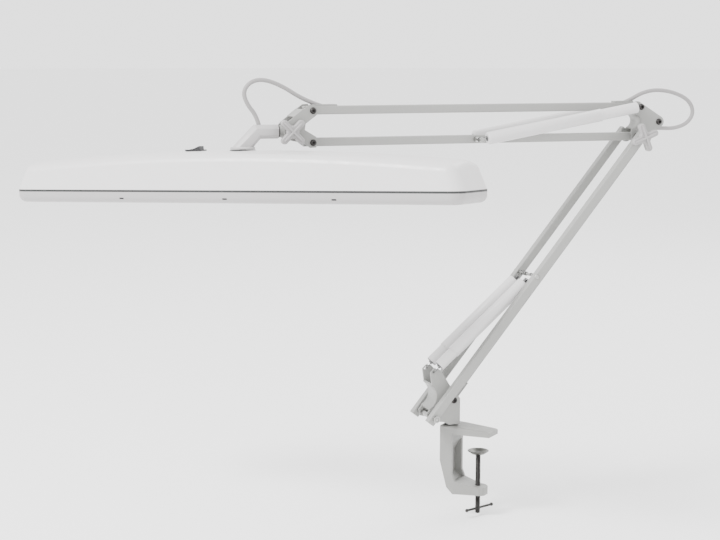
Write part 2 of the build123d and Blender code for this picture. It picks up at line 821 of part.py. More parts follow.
bend = unit(203)
bend_dir = arm.x_dir * bend.X + Vector(0, 0, bend.Y)
bend_plane = Plane(origin=arm_point(neck_corner), x_dir=arm.z_dir, z_dir=bend_dir)
foot_at = head.from_local_coords((0, 0, flange_z + flange_t - 0.5))
foot_plane = Plane(origin=foot_at, x_dir=arm.z_dir, z_dir=head_up * -1)
with BuildPart() as neck:
    with BuildSketch(roll_axis_plane.offset(neck_start)):
        neck_section(16, 16, 4.5)
    with BuildSketch(bend_plane):
        neck_section(16, 17.5, 4.5)
    loft(ruled=True)
    with BuildSketch(bend_plane):
        neck_section(16, 17.5, 4.5)
    with BuildSketch(foot_plane):
        neck_section(20, 23, 5)
    loft(ruled=True)
    with BuildSketch(head.offset(flange_z)):
        Circle(flange_r)
    extrude(amount=flange_t)
    # cable hole in the top, and the bores for the roll bolt and the swivel bolt
    with BuildSketch(along(neck_entry, neck_mouth, 0)):
        Circle(cable_r + 0.5)
    extrude(amount=14, mode=Mode.SUBTRACT)
    with BuildSketch(roll_axis_plane.offset(neck_start)):
        Circle(roll_bolt_r + running)
    extrude(amount=9, mode=Mode.SUBTRACT)
    with BuildSketch(head.offset(flange_z)):
        Circle(4 + running)
    extrude(amount=12, mode=Mode.SUBTRACT)
save(neck, "neck")

with BuildPart() as roll_bolt:
    with BuildSketch(roll_axis_plane.offset(-4.2)):
        Circle(roll_bolt_r - 0.02)
    extrude(amount=4.2 + neck_start + 8)
save(roll_bolt, "roll_bolt")

# ---------------------------------------------------------------- lamp head
head_section = Plane(origin=head.origin, x_dir=head.y_dir, z_dir=head.x_dir)
head_side = Plane(origin=head.origin, x_dir=head.x_dir, z_dir=head.y_dir * -1)
half_l = head_length / 2
half_w = head_width / 2
head_axis = Axis(head.origin, head.z_dir)
bow_r = (half_l**2 + (crest - end_crest) ** 2) / (2 * (crest - end_crest))
corner_r = 15
form_height = 50
end_slant = 18.5
side_slant = 10.5
crown_half = 60
crown_drop = 14
bolt_hole_r = 4
switch_x = -62
switch_z = crest - switch_x**2 / (2 * bow_r)
bezel = (22, 15)
cutout = (19.4, 13)


def head_outline_sketch(height, inset, radius):
    """The head's rounded oblong outline at a height over the seam, drawn in by inset."""
    with BuildSketch(head.offset(height)) as outline:
        RectangleRounded(head_length - 2 * inset, head_width - 2 * inset, radius)
    return outline.sketch


def half_crown(inset, direction):
    """Half of the bowed and crowned body that gives the shade its top, turned about a far axis."""
    axis = Axis(head.from_local_coords((0, 0, crest - bow_r)), head.y_dir * direction)
    edge = crest - crown_drop - inset
    with BuildPart() as half:
        with BuildSketch(head_section) as section:
            with BuildLine():
                ThreePointArc((-crown_half, edge), (0, crest - inset), (crown_half, edge))
                Polyline((crown_half, edge), (crown_half, -25), (-crown_half, -25), (-crown_half, edge))
            make_face()
        revolve(section.sketch, axis=axis, revolution_arc=degrees(atan2(half_l, bow_r)) + 0.6)
    return half.part


def shade_form(inset, edge_r):
    """Solid form of the shade: slanted sides and ends, a bowed crown and a rounded upper edge."""
    crown = half_crown(inset, 1) + half_crown(inset, -1)
    low = head_outline_sketch(0, inset, corner_r - inset)
    with BuildSketch(head.offset(form_height)) as high:
        RectangleRounded(
            head_length - 2 * inset - 2 * end_slant, head_width - 2 * inset - 2 * side_slant, corner_r - 4
        )
    with BuildPart() as form:
        loft([low, high.sketch], ruled=True)
        add(crown, mode=Mode.INTERSECT)
        upper = [edge for edge in form.edges() if head.to_local_coords(edge.center()).Z > end_crest - 7]
        fillet(upper, edge_r)
    return form.part


shade_outer = shade_form(0, 11)
shade_inner = shade_form(shell, 9)
with BuildPart() as shade:
    add(shade_outer)
    add(shade_inner, mode=Mode.SUBTRACT)
    with BuildSketch(head.offset(crest - 5)):
        Circle(bolt_hole_r + running)
        with Locations((switch_x, 0)):
            Rectangle(*cutout)
    extrude(amount=12, mode=Mode.SUBTRACT)
save(shade, "shade")

with BuildPart() as flange_gasket:
    with BuildSketch(head.offset(crest - 1.2)):
        Circle(flange_r + 0.6)
        Circle(bolt_hole_r + 1, mode=Mode.SUBTRACT)
    extrude(amount=1.7)
    add(shade_outer, mode=Mode.SUBTRACT)
save(flange_gasket, "flange_gasket")

# hollow bolt that the head swivels on, with its washer and nut inside the shade
inner_top = crest - shell
with BuildPart() as swivel_bolt:
    with BuildSketch(head.offset(inner_top - 9)):
        Circle(bolt_hole_r - 0.02)
        Circle(2.7, mode=Mode.SUBTRACT)
    extrude(amount=9 + shell + 10)
    with BuildSketch(head.offset(inner_top - 2.2)):
        Circle(10)
        Circle(bolt_hole_r - 0.02, mode=Mode.SUBTRACT)
    extrude(amount=1.2)
    with BuildSketch(head.offset(inner_top - 7.2)):
        RegularPolygon(7.5, 6)
        Circle(bolt_hole_r - 0.02, mode=Mode.SUBTRACT)
    extrude(amount=5)
save(swivel_bolt, "swivel_bolt")

seam_t = 1.8
with BuildPart() as seam_gasket:
    with BuildSketch(head.offset(-seam_t)):
        RectangleRounded(head_length - 1, head_width - 1, corner_r - 0.5)
        RectangleRounded(head_length - 8, head_width - 8, corner_r - 4, mode=Mode.SUBTRACT)
    extrude(amount=seam_t)
save(seam_gasket, "seam_gasket")

# lower trim: a shallow rim with a rolled lower edge round the light window
trim_top = -seam_t
trim_low = trim_top - trim_height
trim_wall = 2
roll_r = 9
lip = 17
with BuildPart() as trim_cavity:
    extrude(head_outline_sketch(trim_top, trim_wall, corner_r - trim_wall), amount=trim_wall - trim_height)
    fillet(trim_cavity.faces().sort_by(head_axis)[0].edges(), roll_r - trim_wall)
latch_pitch = head_length / 4.2
latch_z = -9.6
with BuildPart() as lower_trim:
    extrude(head_outline_sketch(trim_top, 0, corner_r), amount=-trim_height)
    fillet(lower_trim.faces().sort_by(head_axis)[0].edges(), roll_r)
    add(trim_cavity.part, mode=Mode.SUBTRACT)
    extrude(head_outline_sketch(trim_low - 1, lip, 8), amount=trim_height, mode=Mode.SUBTRACT)
    # slots for the latch tabs along the front
    for place in (-1, 0, 1):
        slot_at = head.from_local_coords((place * latch_pitch, -half_w, latch_z))
        with BuildSketch(Plane(origin=slot_at, x_dir=head.x_dir, z_dir=head.y_dir)):
            Rectangle(6, 1.8)
        extrude(amount=6, both=True, mode=Mode.SUBTRACT)
save(lower_trim, "lower_trim")

with BuildPart() as latch_tabs:
    for place in (-1, 0, 1):
        tab_at = head.from_local_coords((place * latch_pitch, -half_w + 1.6, latch_z))
        with BuildSketch(Plane(origin=tab_at, x_dir=head.x_dir, z_dir=head.y_dir)):
            Rectangle(5.4, 1.2)
        extrude(amount=3)
        back_at = head.from_local_coords((place * latch_pitch, -half_w + 4.6, latch_z + 2))
        with BuildSketch(Plane(origin=back_at, x_dir=head.x_dir, z_dir=head.y_dir)):
            Rectangle(9, 6)
        extrude(amount=0.8)
save(latch_tabs, "latch_tabs")

with BuildPart() as diffuser:
    extrude(head_outline_sketch(trim_low + trim_wall + 0.02, lip - 5, 8), amount=2)
save(diffuser, "diffuser")

with BuildPart() as gear_tray:
    extrude(head_outline_sketch(-seam_t + 0.3, 5, 10), amount=1)
save(gear_tray, "gear_tray")

board_rows = (-18, 18)
tray_low = 0.3 - seam_t
board_t = 1.4
led_pitch = 12.4
with BuildPart() as led_strips:
    for row in board_rows:
        with BuildSketch(head.offset(tray_low - board_t)):
            with Locations((0, row)):
                Rectangle(530, 18)
        extrude(amount=board_t - 0.02)
        with BuildSketch(head.offset(tray_low - board_t - 1)):
            with Locations((0, row)):
                with GridLocations(led_pitch, 1, 42, 1):
                    Rectangle(5.2, 4)
        extrude(amount=1)
save(led_strips, "led_strips")

tray_high = tray_low + 1.04
with BuildPart() as led_driver:
    with BuildSketch(head.offset(tray_high)):
        with Locations((130, 0)):
            RectangleRounded(120, 38, 3)
    extrude(amount=24)
save(led_driver, "led_driver")

with BuildPart() as terminal_block:
    with BuildSketch(head.offset(tray_high)):
        with Locations((30, 0)):
            Rectangle(24, 16)
    extrude(amount=12)
save(terminal_block, "terminal_block")

# rocker switch on the crest
rocker_half = 8.2
rocker_w = 10.6
bezel_top = switch_z + 1.9
rocker_axis_z = switch_z + 0.6
bezel_low = switch_z + 0.25
with BuildPart() as switch_body:
    with BuildSketch(head.offset(bezel_low)):
        with Locations((switch_x, 0)):
            RectangleRounded(*bezel, 1.5)
    extrude(amount=bezel_top - bezel_low)
    with BuildSketch(head.offset(switch_z - 14)):
        with Locations((switch_x, 0)):
            Rectangle(cutout[0] - 0.3, cutout[1] - 0.3)
    extrude(amount=15)
    with BuildSketch(head.offset(switch_z - 6)):
        with Locations((switch_x, 0)):
            Rectangle(2 * rocker_half + 1, rocker_w + 0.7)
    extrude(amount=12, mode=Mode.SUBTRACT)
save(switch_body, "switch_body")

with BuildPart() as switch_rocker:
    with BuildSketch(head_side):
        with BuildLine():
            Polyline(
                (switch_x - rocker_half, rocker_axis_z - 1.4),
                (switch_x - rocker_half, rocker_axis_z + 1.0),
                (switch_x, rocker_axis_z + 2.4),
                (switch_x + rocker_half - 0.6, rocker_axis_z + 5.4),
                (switch_x + rocker_half, rocker_axis_z + 1.4),
                (switch_x + 3, rocker_axis_z - 3),
                (switch_x - 3, rocker_axis_z - 3),
                close=True,
            )
        make_face()
    extrude(amount=rocker_w / 2, both=True)
    # pivot boss on each side
    with BuildSketch(head_side):
        with Locations((switch_x, rocker_axis_z)):
            Circle(1.3)
    extrude(amount=rocker_w / 2 + 0.2, both=True)
save(switch_rocker, "switch_rocker")

# ---------------------------------------------------------------- cable
# Each route is a list of points in the arm plane: straight runs, joined by arcs that touch them.
run_step = -22
lower_run = (moved(pivot_b, lower_dir, 24), moved(exit_corner, lower_dir, run_step))
upper_run = ((-136, pivot_h3[1]), (197, pivot_q3[1]))

elbow_loop = (
    upper_run[1],
    (212, pivot_q3[1]),
    (233, 403.6),
    (250, 412.8),
    (271, 416.5),
    (296, 412.5),
    (316.5, 402.5),
    (323.5, 387),
    (314.5, 373.5),
    (296, 367.6),
    (277, 368.4),
    exit_corner,
    lower_run[1],
)
head_loop = (
    upper_run[0],
    (-151, pivot_h3[1]),
    (-172, 402.3),
    (-193, 411),
    (-215.5, 425),
    (-237, 432.5),
    (-252.5, 429.5),
    (-261, 418.5),
    (-257, 404.5),
    neck_mouth,
    neck_entry,
)


def bend_radii(route):
    """One radius for each corner: as large as the shorter run beside it allows."""
    radii = []
    for before, corner, after in zip(route, route[1:], route[2:]):
        into = Vector(*corner) - Vector(*before)
        out = Vector(*after) - Vector(*corner)
        turn = into.get_angle(out)
        radii.append(0.45 * min(into.length, out.length) / tan(radians(turn / 2)))
    return radii


for name, route in (("elbow_cable_loop", elbow_loop), ("head_cable_loop", head_loop)):
    radii = bend_radii(route)
    print(name, "radii", [round(radius, 1) for radius in radii])
    with BuildLine(arm) as centreline:
        FilletPolyline(*route, radius=radii)
    with BuildPart() as cable:
        with BuildSketch(along(route[0], route[1], 0)):
            Circle(cable_r)
        sweep(path=centreline.wires()[0])
    length = centreline.wires()[0].length
    fullness = cable.part.volume / (pi * cable_r**2 * length)
    print(name, "length", round(length, 1), "volume ratio", round(fullness, 4))
    save(cable, name)

for name, (start, end) in (("lower_cable_run", lower_run), ("upper_cable_run", upper_run)):
    with BuildPart() as cable:
        with BuildSketch(along(start, end, 0)):
            Circle(cable_r)
        extrude(amount=gap(start, end))
    save(cable, name)
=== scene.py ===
import json
from math import cos, pi, radians, sin, sqrt, tan

import bmesh
import bpy
from mathutils import Matrix, Vector


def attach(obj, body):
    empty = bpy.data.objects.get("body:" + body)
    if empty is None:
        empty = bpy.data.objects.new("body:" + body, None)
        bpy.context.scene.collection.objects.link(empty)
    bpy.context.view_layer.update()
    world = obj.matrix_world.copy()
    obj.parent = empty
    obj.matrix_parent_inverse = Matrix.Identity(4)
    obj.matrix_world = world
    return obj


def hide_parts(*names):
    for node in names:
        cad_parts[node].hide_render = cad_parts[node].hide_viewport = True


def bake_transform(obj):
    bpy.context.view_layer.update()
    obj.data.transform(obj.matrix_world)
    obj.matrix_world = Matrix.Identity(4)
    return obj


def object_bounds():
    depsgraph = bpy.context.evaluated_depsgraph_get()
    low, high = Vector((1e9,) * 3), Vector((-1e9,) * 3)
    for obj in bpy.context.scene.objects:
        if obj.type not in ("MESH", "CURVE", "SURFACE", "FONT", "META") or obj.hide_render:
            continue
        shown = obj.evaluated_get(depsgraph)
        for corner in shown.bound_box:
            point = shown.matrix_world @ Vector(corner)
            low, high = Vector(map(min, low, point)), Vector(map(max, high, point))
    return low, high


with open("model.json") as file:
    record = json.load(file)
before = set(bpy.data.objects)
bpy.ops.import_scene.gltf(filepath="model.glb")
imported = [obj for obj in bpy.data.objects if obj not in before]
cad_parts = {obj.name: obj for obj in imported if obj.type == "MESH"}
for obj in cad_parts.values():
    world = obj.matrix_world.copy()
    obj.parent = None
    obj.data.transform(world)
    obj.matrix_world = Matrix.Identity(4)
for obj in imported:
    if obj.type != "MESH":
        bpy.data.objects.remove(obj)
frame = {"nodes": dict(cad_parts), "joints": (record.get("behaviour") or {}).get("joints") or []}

cad_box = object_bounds()
MM = 0.001

# ---------------------------------------------------------------- places read from the frame
joints = {joint["name"]: joint for joint in frame["joints"]}


def pivot(name):
    return Vector(joints[name]["pos_m"])


def axis_of(name):
    return Vector(joints[name]["axis"]).normalized()


UP = Vector((0, 0, 1))
OUT = axis_of("lower_arm_tilt")
REACH = UP.cross(OUT)
POST = Vector((pivot("base_swivel").x, pivot("base_swivel").y, 0))
HEAD_UP = axis_of("head_swivel")
HEAD_FRONT = axis_of("switch_rock")
HEAD_LONG = HEAD_FRONT.cross(HEAD_UP) * -1
CREST = pivot("head_swivel")


def arm_point(u, v, w=0):
    """A point of the arm plane: u along the arm and v above the desk, in mm, w out of its front side."""
    return POST + (REACH * u + UP * v + OUT * w) * MM


def head_point(x, y, z):
    """A point on the lamp head, in mm from the crest: x along it, y to its front, z up."""
    return CREST + (HEAD_LONG * x + HEAD_FRONT * y + HEAD_UP * z) * MM


def frame_at(origin, z_dir, x_hint=UP):
    """A matrix that stands at a point with its z along a direction."""
    z = Vector(z_dir).normalized()
    x = Vector(x_hint) - z * z.dot(Vector(x_hint))
    if x.length < 1e-6:
        x = z.orthogonal()
    x.normalize()
    y = z.cross(x)
    return Matrix.Translation(origin) @ Matrix((x, y, z)).transposed().to_4x4()


# ---------------------------------------------------------------- materials
DRIFT_SCALE, SCUFF_SCALE, GLOSS_SCALE = 14.0, 160.0, 90.0
SCUFF_FROM, SCUFF_TO = 0.66, 0.74
GLOSS_FROM, GLOSS_TO, GLOSS_DRIFT, GLOSS_LEAST = 0.3, 0.7, 0.08, 0.02


def link(tree, a, out_name, b, in_name):
    tree.links.new(a.outputs[out_name], b.inputs[in_name])


def noise(tree, coords, scale, detail=4, roughness=0.5):
    node = tree.nodes.new("ShaderNodeTexNoise")
    node.inputs["Scale"].default_value = scale
    node.inputs["Detail"].default_value = detail
    node.inputs["Roughness"].default_value = roughness
    link(tree, coords, "Object", node, "Vector")
    return node


def ramp(tree, source, out_name, low, high, value_low, value_high):
    node = tree.nodes.new("ShaderNodeMapRange")
    node.inputs["From Min"].default_value = low
    node.inputs["From Max"].default_value = high
    node.inputs["To Min"].default_value = value_low
    node.inputs["To Max"].default_value = value_high
    link(tree, source, out_name, node, "Value")
    return node


def material(name, color, rough, metal=0.0, shade_var=0.04, grain=900.0, grain_depth=0.02,
             marks=0.0, mark_color=(0.2, 0.2, 0.2)):
    """A procedural finish: soft colour drift, uneven gloss, fine grain and, where asked, small scuffs."""
    made = bpy.data.materials.new(name)
    made.use_nodes = True
    tree = made.node_tree
    shader = tree.nodes["Principled BSDF"]
    coords = tree.nodes.new("ShaderNodeTexCoord")
    shader.inputs["Metallic"].default_value = metal
    drift = noise(tree, coords, DRIFT_SCALE)
    tint = tree.nodes.new("ShaderNodeMixRGB")
    tint.inputs["Color1"].default_value = [c * (1 - shade_var) for c in color] + [1]
    tint.inputs["Color2"].default_value = [min(1, c * (1 + shade_var)) for c in color] + [1]
    link(tree, drift, "Fac", tint, "Fac")
    color_out = tint
    if marks:
        scuff = noise(tree, coords, SCUFF_SCALE, 8, 0.7)
        spots = ramp(tree, scuff, "Fac", SCUFF_FROM, SCUFF_TO, 0.0, marks)
        worn = tree.nodes.new("ShaderNodeMixRGB")
        worn.inputs["Color2"].default_value = list(mark_color) + [1]
        link(tree, spots, "Result", worn, "Fac")
        link(tree, tint, "Color", worn, "Color1")
        color_out = worn
    link(tree, color_out, "Color", shader, "Base Color")
    gloss = noise(tree, coords, GLOSS_SCALE, 6)
    smoothest, roughest = max(GLOSS_LEAST, rough - GLOSS_DRIFT), min(1, rough + GLOSS_DRIFT)
    uneven = ramp(tree, gloss, "Fac", GLOSS_FROM, GLOSS_TO, smoothest, roughest)
    link(tree, uneven, "Result", shader, "Roughness")
    fine = noise(tree, coords, grain, 3)
    bump = tree.nodes.new("ShaderNodeBump")
    bump.inputs["Strength"].default_value = 1.0
    bump.inputs["Distance"].default_value = grain_depth * MM
    link(tree, fine, "Fac", bump, "Height")
    link(tree, bump, "Normal", shader, "Normal")
    return made


PAINT = material("arm_paint", (0.26, 0.26, 0.25), 0.42, grain=1400, grain_depth=0.03, marks=0.35,
                 mark_color=(0.17, 0.16, 0.16))
BRACKET_PAINT = material("bracket_paint", (0.24, 0.24, 0.23), 0.40, grain=1400, grain_depth=0.03, marks=0.45,
                         mark_color=(0.15, 0.14, 0.14))
CLAMP_PAINT = material("clamp_paint", (0.21, 0.21, 0.20), 0.45, grain=700, grain_depth=0.09, marks=0.5,
                       mark_color=(0.13, 0.12, 0.12))
SHADE_PAINT = material("shade_white", (0.62, 0.61, 0.61), 0.36, shade_var=0.012, grain=2200,
                       grain_depth=0.008)
# The lower trim is the same white plastic as the shade; its darker colour is painted shade for the band under
# the seam that faces away from the light.
TRIM_WHITE_PAINTED_SHADE = material("trim_white_painted_shade", (0.36, 0.35, 0.35), 0.40, shade_var=0.012, grain=2200, grain_depth=0.008)
COVER_PAINT = material("cover_white", (0.56, 0.55, 0.55), 0.36, shade_var=0.02, grain=2000, grain_depth=0.012)
KNOB_PAINT = material("knob_grey", (0.31, 0.30, 0.30), 0.36, grain=1200, grain_depth=0.04, marks=0.25,
                      mark_color=(0.20, 0.19, 0.19))
NECK_PAINT = material("neck_paint", (0.40, 0.39, 0.39), 0.42, grain=900, grain_depth=0.06, marks=0.2,
                      mark_color=(0.28, 0.27, 0.26))
ZINC = material("zinc_steel", (0.36, 0.36, 0.35), 0.26, metal=1.0, shade_var=0.1, grain=1800,
                grain_depth=0.02)
DARK_STEEL = material("dark_steel", (0.045, 0.043, 0.042), 0.42, metal=0.9, shade_var=0.15, grain=1500,
                      grain_depth=0.05, marks=0.5, mark_color=(0.012, 0.011, 0.01))
DISC_STEEL = material("disc_steel", (0.13, 0.13, 0.12), 0.34, metal=1.0, shade_var=0.12, grain=900,
                      grain_depth=0.03)
SPRING_STEEL = material("spring_steel", (0.16, 0.16, 0.16), 0.32, metal=1.0, shade_var=0.1)
RUBBER = material("black_rubber", (0.02, 0.02, 0.02), 0.6, grain=1500, grain_depth=0.04)
BLACK = material("black_plastic", (0.018, 0.018, 0.02), 0.32, grain=2400, grain_depth=0.02)
CABLE = material("cable_grey", (0.25, 0.24, 0.24), 0.45, shade_var=0.03, grain=1100, grain_depth=0.03)
OPAL = material("opal_window", (0.88, 0.88, 0.87), 0.30, shade_var=0.01, grain=700, grain_depth=0.03)
BOARD = material("strip_board", (0.80, 0.82, 0.80), 0.45)
finish_of = {
    CLAMP_PAINT: ["clamp_frame"],
    RUBBER: ["swivel_bush", "seam_gasket", "flange_gasket"],
    DISC_STEEL: ["pressure_pad"],
    DARK_STEEL: ["clamp_screw", "tommy_bar", "serrated_washer", "roll_bolt"],
    BRACKET_PAINT: ["base_bracket", "elbow_bracket", "head_bracket", "tilt_block"],
    NECK_PAINT: ["neck"],
    PAINT: ["lower_tube_front", "lower_tube_rear", "lower_tube_plugs", "lower_cable_tube", "lower_cable_clip",
            "upper_bottom_tube", "upper_tube_plugs", "upper_top_tube", "upper_top_plugs",
            "upper_cable_clips"],
    COVER_PAINT: ["lower_small_covers", "lower_large_covers", "upper_small_covers", "upper_large_covers"],
    ZINC: ["swivel_post", "lower_pivot_pin", "lower_pivot_nuts", "base_spacers", "link_pivot_bolt",
           "lower_cross_pin", "upper_cross_pin", "elbow_knob_bolt", "elbow_bolts", "elbow_spacers",
           "head_pivot_bolts", "head_spacers", "head_knob_bolt", "swivel_bolt", "gear_tray"],
    SPRING_STEEL: ["lower_springs", "upper_springs"],
    KNOB_PAINT: ["elbow_knob", "head_knob"],
    SHADE_PAINT: ["shade"],
    TRIM_WHITE_PAINTED_SHADE: ["lower_trim"],
    BLACK: ["latch_tabs", "switch_body", "switch_rocker", "terminal_block"],
    CABLE: ["lower_cable_run", "elbow_cable_loop", "upper_cable_run", "head_cable_loop"],
    OPAL: ["diffuser", "led_driver"],
    BOARD: ["led_strips"],
}
for finish, names in finish_of.items():
    for name in names:
        node = frame["nodes"][name]
        node.data.materials.clear()
        node.data.materials.append(finish)


# ---------------------------------------------------------------- mesh helpers
def keep(build, name, finish, body, replaced=(), sharp=38):
    """Turns a finished bmesh into a piece that rides on a body and stands for CAD nodes."""
    bmesh.ops.recalc_face_normals(build, faces=build.faces)
    mesh = bpy.data.meshes.new(name)
    build.to_mesh(mesh)
    build.free()
    mesh.shade_smooth()
    mesh.set_sharp_from_angle(angle=radians(sharp))
    mesh.materials.append(finish)
    piece = bpy.data.objects.new(name, mesh)
    bpy.context.scene.collection.objects.link(piece)
    if body:
        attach(piece, body)
    if replaced:
        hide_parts(*replaced)
    return piece


def skin(build, rings, cap_low=True, cap_high=True):
    """Quads between closed rings of points; each end may be closed with a flat cap."""
    rows = [[build.verts.new(point) for point in ring] for ring in rings]
    count = len(rows[0])
    for low, high in zip(rows, rows[1:]):
        for i in range(count):
            j = (i + 1) % count
            build.faces.new((low[i], low[j], high[j], high[i]))
    if cap_low:
        build.faces.new(rows[0][::-1])
    if cap_high:
        build.faces.new(rows[-1])
    return rows


def ring_of(place, radius_at, z, count):
    """One ring about the place's z axis, at z mm; radius_at gives its radius in mm at an angle."""
    points = []
    for i in range(count):
        angle = 2 * pi * i / count
        radius = radius_at(angle) * MM
        points.append(place @ Vector((cos(angle) * radius, sin(angle) * radius, z * MM)))
    return points


def turned(build, place, profile, count=32, hollow=False):
    """A body turned about the place's z axis from (radius, z) pairs in mm; hollow joins its ends."""
    rings = [ring_of(place, lambda angle, r=radius: r, z, count) for radius, z in profile]
    if hollow:
        rings.append(rings[0])
        rows = skin(build, rings[:-1], cap_low=False, cap_high=False)
        for i in range(count):
            j = (i + 1) % count
            build.faces.new((rows[-1][i], rows[-1][j], rows[0][j], rows[0][i]))
    else:
        skin(build, rings)


def hex_radius(across_corners):
    """Radius of a hexagon at an angle."""
    flat = across_corners * cos(pi / 6)

    def radius_at(angle):
        return flat / cos((angle % (pi / 3)) - pi / 6)
    return radius_at


def round_path(points, radius, sides=12):
    """Rings of a round section carried along points without twisting."""
    rings = []
    normal = None
    for i, point in enumerate(points):
        ahead = (points[min(i + 1, len(points) - 1)] - points[max(i - 1, 0)]).normalized()
        if normal is None:
            normal = ahead.orthogonal().normalized()
        normal = (normal - ahead * normal.dot(ahead)).normalized()
        side = ahead.cross(normal)
        ring = []
        for k in range(sides):
            angle = 2 * pi * k / sides
            ring.append(point + (normal * cos(angle) + side * sin(angle)) * radius * MM)
        rings.append(ring)
    return rings


def smooth_line(points, steps=14):
    """Points along the smooth spline that a route's points control."""
    curve = bpy.data.curves.new("route", "CURVE")
    curve.dimensions = "3D"
    curve.resolution_u = steps
    spline = curve.splines.new("NURBS")
    spline.points.add(len(points) - 1)
    for slot_point, point in zip(spline.points, points):
        slot_point.co = (*point, 1)
    spline.order_u = 3
    spline.use_endpoint_u = True
    holder = bpy.data.objects.new("route", curve)
    bpy.context.scene.collection.objects.link(holder)
    bpy.context.view_layer.update()
    line = bpy.data.meshes.new_from_object(holder)
    found = [vertex.co.copy() for vertex in line.vertices]
    bpy.data.objects.remove(holder)
    bpy.data.meshes.remove(line)
    return found


# ---------------------------------------------------------------- fasteners
# sizes in mm
BOLT_R, STUD_R, CROSS_R, CROSS_BORE = 2.46, 2.48, 1.68, 1.72
SOCKET_R, NUT_R, NUT_HEIGHT = 1.75, 4.4, 4.0
STUD_NUT_R, CHAMFER = 4.6, 0.3


def dome_head(build, place, radius=3.9, height=2.7):
    """Button head with a hexagon socket, standing on the place's z = 0 plane."""
    socket = hex_radius(SOCKET_R)
    count = 36
    rings = [
        ring_of(place, lambda a: radius - 0.15, 0, count),
        ring_of(place, lambda a: radius, 0.15, count),
        ring_of(place, lambda a: radius, 0.7, count),
        ring_of(place, lambda a: radius * 0.93, 1.4, count),
        ring_of(place, lambda a: radius * 0.78, 2.1, count),
        ring_of(place, lambda a: radius * 0.6, height - 0.12, count),
        ring_of(place, lambda a: socket(a) + 0.12, height, count),
        ring_of(place, socket, height - 0.12, count),
        ring_of(place, socket, 1.0, count),
    ]
    skin(build, rings)


def lock_nut(build, place, radius=NUT_R, height=NUT_HEIGHT):
    """Hexagon lock nut with chamfered corners, a collar for its insert and the bolt's end."""
    flats = hex_radius(radius)
    count = 36
    round_at = radius * 0.93
    rings = [
        ring_of(place, lambda a: min(flats(a), round_at), 0, count),
        ring_of(place, lambda a: min(flats(a), radius), 0.35, count),
        ring_of(place, lambda a: min(flats(a), radius), height * 0.62, count),
        ring_of(place, lambda a: min(flats(a), round_at), height * 0.7, count),
        ring_of(place, lambda a: radius * 0.8, height * 0.74, count),
        ring_of(place, lambda a: radius * 0.78, height * 0.93, count),
        ring_of(place, lambda a: radius * 0.68, height, count),
        ring_of(place, lambda a: radius * 0.6, height * 0.93, count),
        ring_of(place, lambda a: radius * 0.58, height * 0.8, count),
    ]
    skin(build, rings)


def washer(build, place, inner, outer, low, high):
    """Flat ring with eased outer edges, from low to high along the place's z axis."""
    edge = 0.12
    profile = [
        (inner, low), (outer - edge, low), (outer, low + edge), (outer, high - edge),
        (outer - edge, high), (inner, high),
    ]
    turned(build, place, profile, 36, hollow=True)


def shank(build, place, radius, low, high):
    """Plain rod with chamfered ends."""
    end_r = radius - CHAMFER
    profile = [(end_r, low), (radius, low + CHAMFER), (radius, high - CHAMFER), (end_r, high)]
    turned(build, place, profile, 24)


def pin_place(point, w):
    """Stands at a pivot, w mm in front of the arm's middle, and looks out to the front or the rear."""
    out = OUT if w > 0 else OUT * -1
    return frame_at(point + OUT * w * MM, out)


def pivot_bolt(build, point, w):
    """Bolt through a pivot: button head in front, lock nut behind."""
    shank(build, frame_at(point, OUT), BOLT_R, -w - 2, w + 1)
    dome_head(build, pin_place(point, w))
    lock_nut(build, pin_place(point, -w))


def on_arm(name, w=0):
    """A joint's place, moved to a lateral place w mm in front of the middle of the arm."""
    place = pivot(name)
    return place + OUT * (w * MM - (place - POST).dot(OUT))


WELD_REACH, FLAT_ANGLE, EDGE_ANGLE = 0.01 * MM, radians(1.5), radians(32)


def soften(names, width, segments=2):
    """Rounds the sharp edges of plates and castings, width mm wide."""
    for name in names:
        node = frame["nodes"][name]
        weld = node.modifiers.new("join", "WELD")
        weld.merge_threshold = WELD_REACH
        flat = node.modifiers.new("flat", "DECIMATE")
        flat.decimate_type = "DISSOLVE"
        flat.angle_limit = FLAT_ANGLE
        edge = node.modifiers.new("edge", "BEVEL")
        edge.width = width * MM
        edge.segments = segments
        edge.limit_method = "ANGLE"
        edge.angle_limit = EDGE_ANGLE
        edge.harden_normals = True


# distances along the arms, in mm
UPPER_SPAN, UPPER_CROSS_ALONG = 418, 211
LOWER_CROSS_ALONG, LOWER_CROSS_ASIDE = 212.5, 3.6

ARM_A = on_arm("lower_arm_tilt")
ARM_B = on_arm("lower_link_tilt")
ELBOW_1 = on_arm("upper_arm_tilt")
ELBOW_2 = on_arm("elbow_level")
ELBOW_3 = on_arm("upper_top_tilt")
HEAD_3 = on_arm("head_level")
HEAD_1 = ELBOW_1 - REACH * UPPER_SPAN * MM
KNUCKLE = on_arm("head_tilt")
ALONG = (ELBOW_1 - ARM_A).normalized()
ASIDE = (UP - ALONG * UP.dot(ALONG)).normalized()
LOWER_CROSS = ARM_A + (ALONG * LOWER_CROSS_ALONG + ASIDE * LOWER_CROSS_ASIDE) * MM
UPPER_CROSS = ELBOW_1 - REACH * UPPER_CROSS_ALONG * MM

# ---------------------------------------------------------------- pivot bolts, pins and nuts
# lateral places, in mm from the middle of the arm
PLATE_OUT, HOOK_OUT, ELBOW_SEAT, HEAD_SEAT, PIN_WASHER = 15.0, 25.3, 33.0, 16.0, 32.1
LOWER_PIN_HALF, LOWER_CAP, LOWER_COLLAR, LOWER_SLEEVE = 32.4, 31.82, 20.6, 11.4
UPPER_PIN_HALF, UPPER_NUT, UPPER_SLEEVE_FROM, UPPER_SLEEVE = 25.6, 25.1, 5.02, 13.0
ELBOW_STUD_ENDS, HEAD_STUD_ENDS, HEAD_WASHER = (-34, 41), (-17, 24), 15.02

build = bmesh.new()
pivot_bolt(build, ARM_B, PLATE_OUT)
keep(build, "link_bolt", DARK_STEEL, "base", ["link_pivot_bolt"])

